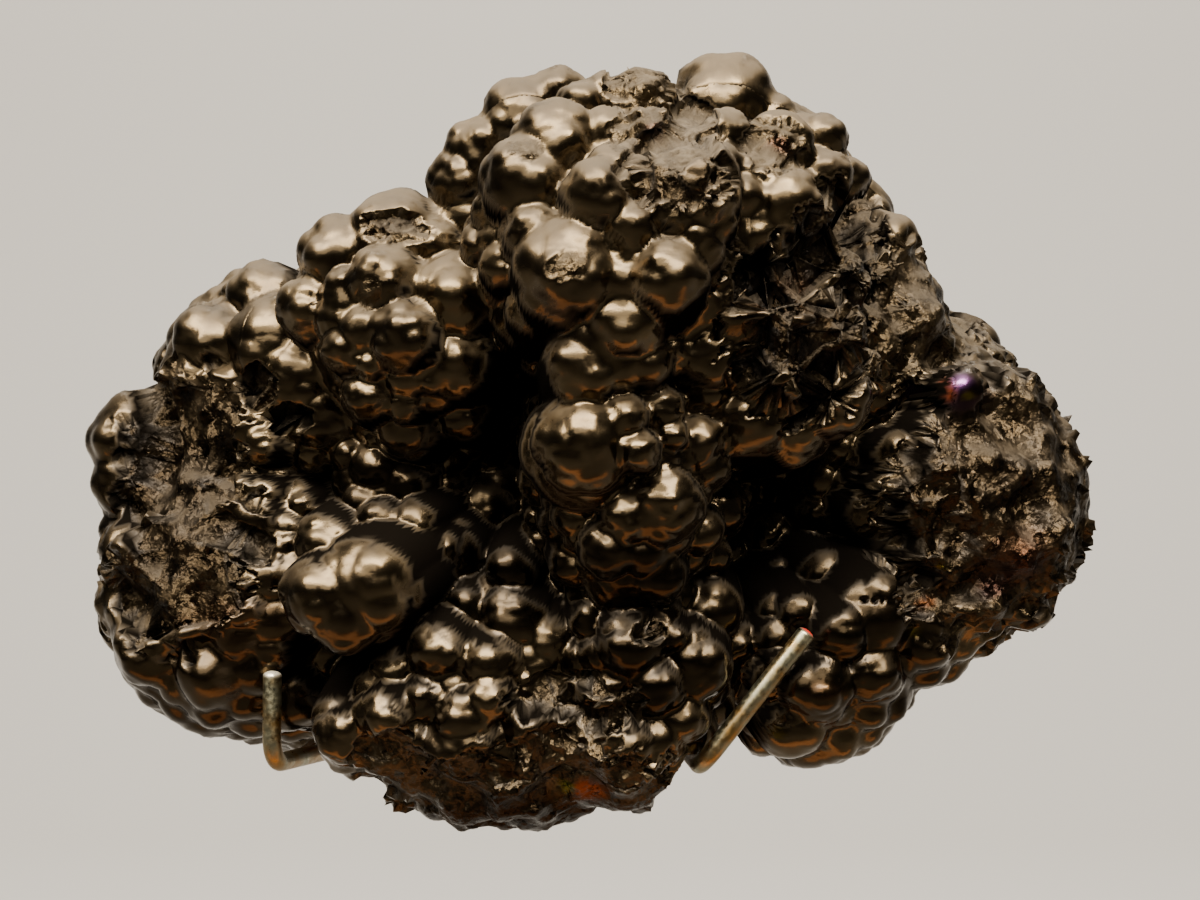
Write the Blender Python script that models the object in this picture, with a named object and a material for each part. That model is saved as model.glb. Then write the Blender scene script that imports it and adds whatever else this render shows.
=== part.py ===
"""A heterogenite specimen: a black botryoidal stone held up by two bent brass rods.

The stone grew as one piece, so it is one solid. Two rods come straight out of the wall behind it,
run under it and turn up in front of it, one hook on each side of its lowest lobe.
The rods' axes leave the wall's face at Y = 0 and Z = 0. +X is right, +Y goes into the wall.
"""

import math

import bmesh
import bpy
import numpy as np
from mathutils import Vector
from mathutils.geometry import interpolate_bezier

MM = 0.001

# Driving dimensions, all in millimetres
ROD_DIAMETER = 2.38

# The stone's seat: its height over a rod, the flat's half width, and how steeply it slopes off
SEAT_GAP = 0.35
SEAT_HALF_WIDTH = 2.3
SEAT_SLOPE = 2.5
SEAT_HALVINGS = 18

# Places on the stone are given as seen: on the upright plane Y = SIGHT_PLANE, from this eye.
EYE = np.array([0.0, -500.0, 39.5])
SIGHT_PLANE = -50.0

# The lines that the surface is measured along fan out from a flat disc in the stone's middle,
# and are pulled together at the front by this share.
HEART = np.array([0.0, -30.0, 40.0])
DISC = np.array([42.0, 0.0, 27.0])
LEAST_REACH = 5.0
FRONT_PULL = 0.3

# Main lobes: place as seen (x, z), depth y, then half width and half height as seen, half depth
LOBES = {
    "back": (0, 38, -29, 46, 30, 20),
    "back_top": (8, 62, -38, 23, 21.5, 26),
    "back_left": (-24, 48, -38, 21, 18, 24),
    "back_low_left": (-40, 25, -34, 20, 17, 21),
    "back_right": (37, 37, -33, 21, 20, 21),
    "back_bottom": (-6, 8, -38, 21, 14, 21),
    "crown": (5, 65.5, -62, 22.5, 20.5, 26),
    "crown_right": (19.5, 70.5, -58, 13.5, 13.5, 22),
    "brow": (21.5, 53.5, -60, 13, 13.5, 23),
    "column": (4, 38, -62, 11.5, 20, 18),
    "column_foot": (5, 12, -56, 12, 15, 16),
    "saddle": (-12, 15, -52, 10, 9, 16),
    "bottom": (-12, 2.5, -54, 18.5, 12.3, 16),
    "bottom_left": (-27, 5, -57, 9, 8.5, 12),
    "bottom_right": (3, 2, -60, 8.5, 9, 12),
    "left_shoulder": (-25.5, 55, -58, 14, 14.5, 17),
    "left_wall": (-27, 37, -48, 10, 9, 15),
    "left_back": (-41, 45, -44, 16, 17, 17),
    "left_lobe": (-46, 22.5, -46, 18, 19.5, 18),
    "left_seat": (-38, 12, -36, 10, 10.5, 12),
    "knob": (-31.5, 21.7, -66, 7.8, 7.2, 8),
    "right_back": (29, 54, -41, 16, 15.5, 20),
    "right_lobe": (45, 32.5, -42, 18, 18.5, 19),
    "right_joint": (40, 18, -44, 9, 9, 13),
    "right_foot": (28, 13.5, -47, 12, 14, 15),
}

# Bubbles on each lobe: place as seen (x, z), radius as seen, and how far it stands out
BUBBLES = {
    "crown": [
        (-9, 74.5, 6.2, 4), (-4, 62.5, 7.5, 4.2), (-17, 70.5, 5, 3), (-8, 68, 4, 2), (0, 73, 5, 3),
        (-14.5, 66, 3, 1.5), (-9, 82, 5.5, 2.5), (-2.5, 83.5, 3.5, 2), (-6.5, 78.5, 6, 3),
        (-5.5, 85, 4, 2), (1, 84.5, 4, 2.4), (-16.5, 75, 4.5, 2.5), (-14.5, 80.5, 3, 1.5),
        (-15, 77.5, 3, 1.5), (16, 84.5, 6, 3), (16, 80, 4, 2), (7.5, 81, 3.5, 2), (6.5, 85, 5, 3),
        (13, 71, 5, 3), (12.5, 75.3, 2, 1), (-8, 57, 3, 1.5),
        (20.5, 69, 3.5, 2.5), (15, 69, 2.5, 1.2), (12.5, 67, 3, 1.5), (9, 62.5, 5, 3.8),
        (3, 58, 3.5, 2), (1.5, 56.5, 4, 2.5), (-1, 52.5, 5.5, 4.5), (4.5, 52, 4.2, 3.2),
        (-12, 60.5, 3, 1.5), (4, 67, 4, 2), (-2, 69.5, 3, 1.5),
    ],
    "crown_right": [
        (28.5, 79, 3.5, 2), (32, 74.5, 3.2, 2), (29.5, 72.5, 4, 2.2), (24, 71.5, 5, 2.8),
        (22.5, 79.5, 4.5, 2.4), (31.5, 67.5, 3.5, 1.4),
    ],
    "brow": [
        (9.5, 56.5, 4.5, 2.5), (13, 52.5, 3.5, 2.2), (14, 47.5, 4, 2.8), (19.5, 43.5, 5, 2.6),
        (25, 42.5, 5, 2.4), (29.5, 46.5, 5.5, 2), (24, 50, 5, 2), (21, 66, 4, 3), (30, 55, 5.5, 2),
        (31, 62, 5, 3), (17, 58, 4.5, 2.4),
    ],
    "column": [
        (-2, 42, 6.7, 4.2), (1, 37.5, 5.5, 2.5), (8, 45.5, 3.4, 2), (9, 42, 2.5, 1.2),
        (12, 41.5, 4.5, 2.8), (13, 37, 4, 2), (8.5, 33.5, 5, 3), (-5, 30, 3, 2),
        (-8.5, 30.5, 1.5, 1), (1.5, 27, 4.5, 2.5), (-3.5, 25, 3.5, 2), (7, 24, 4, 2),
        (-1, 20.5, 3, 1.5), (14.5, 26, 2.5, 1.5), (15, 32, 4, 1.6), (-7, 36, 3.5, 1.5),
    ],
    "column_foot": [
        (13, 20, 5, 2.5), (4, 14, 4.5, 2.5), (12, 12, 5, 2), (7, 9, 4, 1.5), (-1, 17.5, 3, 1.5),
        (15.5, 16.5, 3, 1.5), (10, 5, 4, 1.2),
    ],
    "saddle": [
        (-11, 18.5, 5, 3), (-17, 19.5, 3.5, 1.5), (-15.5, 24.5, 3, 1), (-7.5, 17, 4, 2),
        (-8, 13, 5, 2), (-12, 26.5, 2.5, 1), (-8, 24.5, 3, 1.2),
    ],
    "bottom": [
        (-20.5, 13.5, 4.4, 3.4), (-14.5, 13, 4.5, 3), (-22.5, 7.5, 3.2, 2), (-18.5, 6, 3.6, 2.4),
        (-15.5, 9, 4, 2.2), (-17.5, 2, 6, 2), (-12, 8, 5, 2),
    ],
    "bottom_left": [(-28, 7, 4, 2.4), (-24, 2, 2.8, 2), (-33, 3, 4, 1.5)],
    "left_shoulder": [
        (-26, 67.5, 6.5, 3), (-33, 64, 5.5, 2.2), (-38, 58, 4, 2), (-34, 53.5, 2.5, 1.3),
        (-28, 63, 5.5, 2.5), (-28, 60.5, 4, 2), (-19.5, 59.5, 5.7, 3.6), (-19, 57, 4.5, 3.2),
        (-25.5, 54, 4.8, 3.4), (-18.5, 52, 3.6, 2.4), (-15.5, 52.3, 2, 1), (-17, 49.3, 3.5, 2),
        (-21.5, 49.5, 3.5, 2), (-31, 56, 2, 1), (-33, 57.5, 1.8, 0.8), (-31.5, 53.5, 3, 1.5),
        (-30, 47, 3.2, 1.6), (-33, 51.5, 2.5, 1.2), (-29.5, 50.5, 1.7, 1), (-25.5, 43.5, 3, 1.6),
        (-28.5, 41.5, 2.2, 1), (-18.5, 47.5, 4, 2.2), (-18, 44.5, 4, 2), (-24.5, 42.5, 3.8, 2),
        (-16.5, 64.5, 3.5, 1.5), (-21.5, 65, 4, 2),
    ],
    "left_wall": [
        (-32.5, 39, 2.5, 1.3), (-29, 37, 3, 1.5), (-25.5, 35, 3.2, 2), (-20, 35, 2.8, 1.5),
        (-20.5, 32.5, 2.2, 1), (-26, 31.5, 3, 1.5),
    ],
    "left_back": [
        (-43, 58.5, 6, 2.4), (-49, 53.5, 5, 2), (-53.5, 47.5, 3.5, 1.6), (-57, 43, 4, 2),
        (-60, 41, 6, 5.5), (-60, 35.5, 5.5, 4.5), (-41.5, 49, 9, 3), (-43, 53, 5, 2),
        (-37, 47, 4, 1.5),
    ],
    "left_lobe": [
        (-46, 19, 3, 1.5), (-41, 18, 3, 1.5), (-38.5, 32, 2.5, 1.5), (-36, 36.5, 2.5, 1.2),
        (-42.5, 14, 3, 1.2), (-50, 11, 5, 1.6), (-58, 14, 5, 1.6), (-40, 8, 5, 1.6),
        (-34, 9, 4, 1.5), (-60, 25, 4, 1.5),
    ],
    "knob": [
        (-31, 24.2, 6, 2.2), (-36.5, 22, 5.2, 2.2), (-26.2, 22.5, 5, 2.2), (-31.5, 17.5, 5, 1.8),
        (-27, 18, 4, 1.6), (-36, 17.5, 4, 1.6),
    ],
    "right_back": [(41, 56.5, 4.5, 1.5), (35.5, 62, 4, 1), (39, 43.5, 3.5, 2.5)],
    "right_lobe": [
        (46.5, 46.8, 3.6, 2.6), (53, 45.5, 5, 1.2), (58, 29, 4.5, 2), (57.5, 24, 3.5, 1.5),
        (55.5, 19.5, 3.5, 1.2), (50, 20, 4, 1.5), (54, 26.5, 4, 1.5), (50, 27, 3, 1.2),
    ],
    "right_foot": [
        (37, 26.5, 5, 3), (34.5, 18.5, 6.5, 3), (31, 16, 4, 2), (28, 9, 5, 1.8), (25, 4.5, 5, 1.6),
        (35, 11, 4, 1.4), (32, 28, 4, 2),
    ],
}

# Places where the crust is broken away: centre as seen (x, z), half width, half height, depth
BREAKS = [
    (11, 74, 8, 6.5, 1.6), (6, 86.5, 5, 3.5, 0.8), (12, 82, 3, 3, 0.9), (24, 77.5, 3.4, 2.6, 2),
    (26, 55, 9.5, 11.5, 2.6), (21, 62.3, 3.6, 3.2, 4.5), (31, 66, 6, 6, 1.6), (40, 57, 9, 9, 1),
    (51, 33, 14, 17, 1.6), (-52, 37, 11, 14, 2.2), (-55, 24, 9, 9, 2), (-41, 44, 3, 4.5, 3.2),
    (-27, 69.3, 4, 1.7, 3), (-4, 63.3, 2.6, 2.1, 1), (-9.5, 78.5, 2.6, 1.2, 1),
    (-30, 59.5, 2, 2, 0.9), (-27, -2, 5.5, 6.5, 2), (-8, -4, 17, 6, 1.4), (-2, 6, 8, 5, 1.4),
    (-47, 28, 5, 5, 1.6),
]
# Their ragged edges: waves of these sizes move an edge by these shares of the place's half size.
RAGGED = [(9.0, 0.22), (4.0, 0.16)]

# Everything behind this is one old break. All breaks have coarse facets, of this size and relief.
BREAK_BACK = 0.45
BREAK_FACET = 5.0
BREAK_RELIEF = 1.2
BREAK_TILT = 0.8

# On a flank steeper than this cosine to the lines, relief fades out, as it would only smear there.
FLANK = 0.5

# Shallow swellings, with creases between them, that every bubble's skin is made of
SWELL_SIZE = 5.2
SWELL_RISE = 0.7

# Seeded bubbles, spread evenly: lines over the whole ball, radii, and the share of a radius that
# stands out. Large ones cover the sides and back that no photograph shows, small ones fill the front.
HIDDEN_FILL = (230, (4.0, 8.0), 0.42)
FRONT_FILL = (900, (2.6, 4.4), 0.45)
HIDDEN_FROM = 0.08
FILL_JITTER = 0.3
SEED = 27

# The even grid that is pushed out to the stone's surface, as cells along a cube's edge, and the
# triangles that are left where the surface bends most
CELLS = 60
STONE_TRIANGLES = 9000

# Rod routes: plan and height of the points that each axis passes, from the wall to the tip
ROD_HEIGHT = 0.0
RODS = {
    "left_hook": [(-27, 0, 0), (-27, -10, 0), (-41.3, -60.9, 0), (-41.1, -61.8, 11.8)],
    "right_hook": [(10, 0, 0), (10, -10, 0), (12.6, -64.4, 0), (26, -64.6, 17)],
}
ROD_BEND = 3.5
BEND_POINTS = 5
ROD_ROUNDNESS = 3

STONE_COLOUR = (0.055, 0.042, 0.028)
BRASS_COLOUR = (0.36, 0.27, 0.13)


def placed(x, z, y):
    """The real point at depth y that is seen at (x, z), and the scale there."""
    scale = (y - EYE[1]) / (SIGHT_PLANE - EYE[1])
    return np.array([x * scale, y, EYE[2] + (z - EYE[2]) * scale]), scale


def lobe_bodies():
    """Each lobe as an ellipsoid: its real centre and its three real half sizes."""
    bodies = {}
    for name, (x, z, y, half_width, half_height, half_depth) in LOBES.items():
        centre, scale = placed(x, z, y)
        bodies[name] = (centre, np.array([half_width * scale, half_depth, half_height * scale]))
    return bodies


def bubble_bodies(lobes):
    """Each bubble as a ball: the eye's line through its place meets its lobe, where the ball stands out."""
    bodies = []
    for name, rows in BUBBLES.items():
        centre, half = lobes[name]
        for x, z, radius, rise in rows:
            line = placed(x, z, SIGHT_PLANE)[0] - EYE
            line /= np.linalg.norm(line)
            start = (EYE - centre) / half
            step = line / half
            square, middle = step @ step, start @ step
            root = middle * middle - square * (start @ start - 1)
            hit = EYE + line * (-middle - math.sqrt(max(root, 0))) / square
            scale = (hit[1] - EYE[1]) / (SIGHT_PLANE - EYE[1])
            sink = radius * scale - rise if root > 0 else 0
            bodies.append((hit + line * sink, np.full(3, radius * scale)))
    return bodies


def reach(starts, lines, bodies):
    """Along each line, where it leaves the last rounded body that it crosses, and how squarely.

    In a body's own units the body is a unit ball, so the distance is the larger root of a square
    equation. The second result is the cosine between the line and the body's surface normal.
    """
    far = np.full(len(lines), LEAST_REACH)
    square_on = np.ones(len(lines))
    for centre, half in bodies:
        start = (starts - centre) / half
        step = lines / half
        square = (step * step).sum(1)
        middle = (start * step).sum(1)
        root = np.sqrt(np.maximum(middle * middle - square * ((start * start).sum(1) - 1), 0))
        leave = np.where(root > 0, (root - middle) / square, 0)
        normal = (start + step * leave[:, None]) / half
        facing = root / np.linalg.norm(normal, axis=1)
        square_on = np.where(leave > far, facing, square_on)
        far = np.maximum(far, leave)
    return far, square_on


def even_lines(count):
    """Unit vectors spread evenly over a ball, each turned by the golden angle from the last."""
    index = np.arange(count)
    up = 1 - (2 * index + 1) / count
    turn = index * math.pi * (3 - math.sqrt(5))
    flat = np.sqrt(1 - up * up)
    return np.stack([flat * np.cos(turn), flat * np.sin(turn), up], 1)


def fill_bodies(lobes, fill, low, high, seeds):
    """Seeded bubbles on the lobes, on the lines whose Y is between low and high."""
    count, sizes, rise = fill
    lines = even_lines(count) + seeds.normal(size=(count, 3)) * FILL_JITTER / math.sqrt(count)
    lines /= np.linalg.norm(lines, axis=1)[:, None]
    radii = seeds.uniform(*sizes, count)
    starts = HEART + DISC * lines
    depth = reach(starts, lines, lobes.values())[0] - radii * (1 - rise)
    centres = starts + lines * depth[:, None]
    keep = (lines[:, 1] > low) & (lines[:, 1] < high)
    return [(centre, np.full(3, radius)) for centre, radius in zip(centres[keep], radii[keep])]


def waves(points, size, seeds, count=6):
    """Soft noise between about -1 and 1: a sum of sine waves of about this size in random directions."""
    turns = seeds.normal(size=(3, count)) * (2 * math.pi / size) / math.sqrt(3)
    shifts = seeds.uniform(0, 2 * math.pi, count)
    return np.sin(points @ turns + shifts).sum(1) / math.sqrt(count)


def grains(points, size, seeds, tilt=0.0):
    """Rounded grains that meet in creases, from about 0 down to -1.

    Each cell of a grid of this size holds one seed with a bowl upside down on it, tilted a little,
    and every point takes the highest bowl over it.
    """
    low = points.min(0) - 2 * size
    cells = np.ceil((points.max(0) - low) / size).astype(int) + 2
    place = seeds.uniform(0.1, 0.9, (*cells, 3))
    lift = seeds.uniform(-0.3, 0, cells)
    slope = seeds.normal(size=(*cells, 3)) * tilt
    home = ((points - low) / size).astype(int)
    height = np.full(len(points), -np.inf)
    for shift in np.ndindex(3, 3, 3):
        cell = home + np.array(shift) - 1
        key = tuple(cell.T)
        offset = (points - low) / size - cell - place[key]
        bowl = lift[key] - (offset * offset).sum(1) + (offset * slope[key]).sum(1)
        height = np.maximum(height, bowl)
    return height


def as_seen(points):
    """Where the eye sees each point on the sight plane, as (x, z)."""
    scale = (points[:, 1] - EYE[1]) / (SIGHT_PLANE - EYE[1])
    return points[:, 0] / scale, EYE[2] + (points[:, 2] - EYE[2]) / scale


def broken_away(points, lines, seeds):
    """How deep the crust is broken at each point, in millimetres, with ragged edges, 0 where it is whole."""
    x, z = as_seen(points)
    ragged = sum(share * waves(points, size, seeds) for size, share in RAGGED)
    deep = np.zeros(len(points))
    for centre_x, centre_z, half_width, half_height, depth in BREAKS:
        away = np.hypot((x - centre_x) / half_width, (z - centre_z) / half_height)
        inside = (away + ragged < 1) & (lines[:, 1] < HIDDEN_FROM)
        deep = np.maximum(deep, np.where(inside, depth, 0))
    behind = lines[:, 1] + 0.5 * ragged > BREAK_BACK
    return np.where(behind, np.maximum(deep, BREAK_RELIEF), deep)


def rod_distance(points):
    """How far each point is from the nearer rod's line, looking straight down."""
    near = np.full(len(points), np.inf)
    for route in RODS.values():
        for start, end in zip(route[:2], route[1:3]):
            start = np.array(start[:2], float)
            run = np.array(end[:2], float) - start
            along = np.clip(((points[:, :2] - start) @ run) / (run @ run), 0, 1)
            near = np.minimum(near, np.linalg.norm(points[:, :2] - start - along[:, None] * run, axis=1))
    return near


def seated(starts, lines, far):
    """Draw the surface in to its seat where it would hang lower over a rod, by halving the step."""
    def spare(distance):
        points = starts + lines * distance[:, None]
        roof = ROD_HEIGHT + ROD_DIAMETER / 2 + SEAT_GAP
        return points[:, 2] - roof + SEAT_SLOPE * np.maximum(rod_distance(points) - SEAT_HALF_WIDTH, 0)

    low, high = np.zeros_like(far), far.copy()
    for _ in range(SEAT_HALVINGS):
        middle = (low + high) / 2
        clear = spare(middle) > 0
        low, high = np.where(clear, middle, low), np.where(clear, high, middle)
    return np.where(spare(far) > 0, far, low)


def stone_points(cube):
    """Push points of a cube, from -1 to 1, out to the stone's surface, in millimetres."""
    seeds = np.random.default_rng(SEED)
    lines = np.tan(cube * math.pi / 4)
    lines /= np.linalg.norm(lines, axis=1)[:, None]
    lines[:, 1] -= FRONT_PULL
    lines /= np.linalg.norm(lines, axis=1)[:, None]
    starts = HEART + DISC * lines
    lobes = lobe_bodies()
    bodies = [*lobes.values(), *bubble_bodies(lobes)]
    bodies += fill_bodies(lobes, HIDDEN_FILL, HIDDEN_FROM, 1, seeds)
    bodies += fill_bodies(lobes, FRONT_FILL, -1, HIDDEN_FROM, seeds)
    far, square_on = reach(starts, lines, bodies)
    points = starts + lines * far[:, None]
    deep = broken_away(points, lines, seeds)
    swell = SWELL_RISE * grains(points, SWELL_SIZE, seeds)
    rough = BREAK_RELIEF * grains(points, BREAK_FACET, seeds, BREAK_TILT)
    far = far + np.where(deep > 0, rough - deep, swell) * np.clip(square_on / FLANK, 0, 1)
    far = seated(starts, lines, np.maximum(far, LEAST_REACH))
    return starts + lines * far[:, None]


def material(name, colour, roughness, metallic):
    finish = bpy.data.materials.new(name)
    finish.use_nodes = True
    shader = finish.node_tree.nodes["Principled BSDF"]
    shader.inputs["Base Color"].default_value = (*colour, 1)
    shader.inputs["Roughness"].default_value = roughness
    shader.inputs["Metallic"].default_value = metallic
    return finish


def add_stone():
    """The stone: a cube cut into an even grid, every corner pushed out to the surface."""
    work = bmesh.new()
    bmesh.ops.create_cube(work, size=2)
    bmesh.ops.subdivide_edges(work, edges=work.edges, cuts=CELLS - 1, use_grid_fill=True)
    cube = np.array([corner.co for corner in work.verts])
    for corner, place in zip(work.verts, stone_points(cube) * MM):
        corner.co = place
    bmesh.ops.triangulate(work, faces=work.faces, quad_method="SHORT_EDGE")
    mesh = bpy.data.meshes.new("stone")
    work.to_mesh(mesh)
    work.free()
    mesh.materials.append(material("heterogenite", STONE_COLOUR, 0.3, 0.9))
    stone = bpy.data.objects.new("stone", mesh)
    thin = stone.modifiers.new("thin", "DECIMATE")
    thin.ratio = STONE_TRIANGLES / len(mesh.polygons)
    bpy.context.collection.objects.link(stone)
    return stone


def rounded_route(corners):
    """The rod's axis: straight runs with each corner turned through a smooth bend of ROD_BEND."""
    corners = [Vector(corner) for corner in corners]
    points = [corners[0]]
    for before, corner, after in zip(corners, corners[1:], corners[2:]):
        cut = min(ROD_BEND, (corner - before).length * 0.45, (after - corner).length * 0.45)
        enter = corner + (before - corner).normalized() * cut
        leave = corner + (after - corner).normalized() * cut
        points += interpolate_bezier(enter, enter.lerp(corner, 0.6), leave.lerp(corner, 0.6), leave,
                                     BEND_POINTS)
    points.append(corners[-1])
    return points


def add_rod(name, corners, brass):
    """A hook of bent brass rod, cut off square at both ends."""
    points = rounded_route(corners)
    curve = bpy.data.curves.new(name, "CURVE")
    curve.dimensions = "3D"
    curve.bevel_depth = ROD_DIAMETER / 2 * MM
    curve.bevel_resolution = ROD_ROUNDNESS
    curve.use_fill_caps = True
    spline = curve.splines.new("POLY")
    spline.points.add(len(points) - 1)
    for slot, point in zip(spline.points, points):
        slot.co = (*(point * MM), 1)
    rod = bpy.data.objects.new(name, curve)
    curve.materials.append(brass)
    bpy.context.collection.objects.link(rod)
    return rod


for leftover in list(bpy.data.objects):
    bpy.data.objects.remove(leftover)
add_stone()
brass = material("brass", BRASS_COLOUR, 0.35, 1.0)
for rod_name, rod_corners in RODS.items():
    add_rod(rod_name, rod_corners, brass)
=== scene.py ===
"""A heterogenite specimen on two brass hooks, in a plain pale studio.

Sizes are in millimetres in the values below, and turned to metres where a mesh is made.
"""

import math

import bpy
import numpy as np
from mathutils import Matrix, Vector


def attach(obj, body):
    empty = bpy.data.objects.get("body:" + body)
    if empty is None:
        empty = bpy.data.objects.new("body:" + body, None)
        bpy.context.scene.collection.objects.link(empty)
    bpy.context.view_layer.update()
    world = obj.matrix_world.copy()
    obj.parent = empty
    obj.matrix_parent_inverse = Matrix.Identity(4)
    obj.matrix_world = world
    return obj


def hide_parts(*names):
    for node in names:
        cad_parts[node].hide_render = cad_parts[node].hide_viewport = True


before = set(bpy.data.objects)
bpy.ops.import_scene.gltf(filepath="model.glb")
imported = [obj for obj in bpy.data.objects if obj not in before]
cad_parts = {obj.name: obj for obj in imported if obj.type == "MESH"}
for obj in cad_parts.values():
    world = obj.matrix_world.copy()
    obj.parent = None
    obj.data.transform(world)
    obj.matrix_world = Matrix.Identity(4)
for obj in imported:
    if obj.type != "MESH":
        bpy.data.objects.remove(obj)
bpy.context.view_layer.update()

# The camera looks level along +Y from half a metre in front of the wall, as the photograph does.

MM = 0.001
EYE = np.array([0.0, -500.0, 39.5])
VIEW_WIDTH = math.radians(19.5)
SENSOR_MM = 36.0

camera = bpy.data.cameras.new("camera")
camera.sensor_width = SENSOR_MM
camera.lens = SENSOR_MM / 2 / math.tan(VIEW_WIDTH / 2)
camera_object = bpy.data.objects.new("camera", camera)
camera_object.location = EYE * MM
camera_object.rotation_euler = (math.pi / 2, 0, 0)
bpy.context.collection.objects.link(camera_object)
bpy.context.scene.camera = camera_object

# The stone: botryoidal heterogenite, a cobalt mineral that grew as one crust of bubbles on bubbles.
# Lines fan out from a flat disc in its middle, and each one ends where it leaves the last of the
# rounded bodies that it crosses. Places are given as seen, on the upright plane SIGHT_PLANE.

SIGHT_PLANE = -50.0
SEED = 27

# The disc's middle and its three half sizes, and the least that a line reaches from it
HEART = np.array([0.0, -30.0, 40.0])
DISC = np.array([42.0, 0.0, 27.0])
LEAST_REACH = 5.0

# A place's distance from the disc is looked for up to this far, in so many halvings.
SHELL_FURTHEST = 200.0
SHELL_HALVINGS = 30

# Lines are worked out in groups of like direction: cells per unit of it, and a number for each cell
GROUPS_PER_UNIT = 10
GROUP_NUMBERS = np.array([1, 32, 32 ** 2])

# The lines are drawn to the front by this much, so that its mesh is the finer one.
FRONT_PULL = 0.3

# Cells along an edge of the whole body and of the finer front skin. The front goes past its face of
# the cube by RIM, where it dips by RIM_SINK, and the body lies BODY_SINK under it.
BODY_CELLS = 128
FRONT_CELLS = 312
RIM = 0.06
RIM_SINK = 0.8
BODY_SINK = 4.0

# The body has no crumbs smaller than this.
BODY_FINEST = 2.0

# The steepest that a body's side falls away from a line, as depth over width
SKIRT = 5.5

# Relief fades out between these cosines of the angle between the surface's normal and the line.
STEEP = (0.2, 0.55)

# Steep sides are painted near black as shade, as the hollows in the front are, but are rough and carry
# more dust where they face back: where the Y part of their normal rises through these values. A side is
# steep below these cosines.
FACES_BACK = (-0.1, 0.15)
FLANK_SHADE = (0.6, 0.34)

# Dust lies where the upward part of the normal rises through the first pair, from a share of it low
# down to all of it above the second pair, in millimetres, and more of it on breaks.
DUST_FACING = (0.1, 0.9)
DUST_LOW_SHARE = 0.3
DUST_HEIGHTS = (45, 80)
DUST_ON_BREAKS = 1.6

# Main lobes: place as seen (x, z), depth y, then half width and half height as seen, half depth
LOBES = {
    "back": (0, 38, -29, 46, 30, 20),
    "back_top": (8, 62, -38, 23, 21.5, 26),
    "back_left": (-24, 48, -38, 21, 18, 24),
    "back_low_left": (-40, 25, -34, 20, 17, 21),
    "back_right": (37, 37, -33, 21, 20, 21),
    "back_bottom": (-6, 8, -38, 21, 14, 21),
    "crown": (5, 65.5, -62, 22.5, 20.5, 26),
    "crown_right": (19.5, 70.5, -58, 13.5, 13.5, 22),
    "brow": (21.5, 53.5, -60, 13, 13.5, 23),
    "column": (4, 38, -62, 11.5, 20, 18),
    "column_foot": (5, 12, -56, 12, 15, 16),
    "saddle": (-12, 15, -52, 10, 9, 16),
    "bottom": (-12, 2.5, -54, 18.5, 12.3, 16),
    "bottom_left": (-27, 5, -57, 9, 8.5, 12),
    "bottom_right": (3, 2, -60, 8.5, 9, 12),
    "left_shoulder": (-25.5, 55, -58, 14, 14.5, 17),
    "left_wall": (-27, 37, -48, 10, 9, 15),
    "valley": (-16, 30, -42, 10, 13, 14),
    "left_back": (-41, 45, -44, 16, 17, 17),
    "left_lobe": (-46, 22.5, -46, 18, 19.5, 18),
    "left_seat": (-38, 12, -36, 10, 10.5, 12),
    "knob": (-31.5, 21.7, -66, 7.8, 7.2, 8),
    "knob_side": (-19, 23.5, -57, 5, 7, 6.5),
    "knob_back": (-25.5, 27.5, -59, 6.5, 6, 8),
    "knob_top": (-30, 31.5, -56, 7, 4.5, 8),
    "saddle_top": (-11, 25, -60, 5, 5, 6),
    "bottom_top": (-17, 8.5, -60, 8.5, 8, 9),
    "right_back": (29, 54, -41, 16, 15.5, 20),
    "right_lobe": (45, 32.5, -42, 18, 18.5, 19),
    "right_joint": (40, 18, -44, 9, 9, 13),
    "right_foot": (28, 13.5, -47, 12, 14, 15),
}

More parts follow.
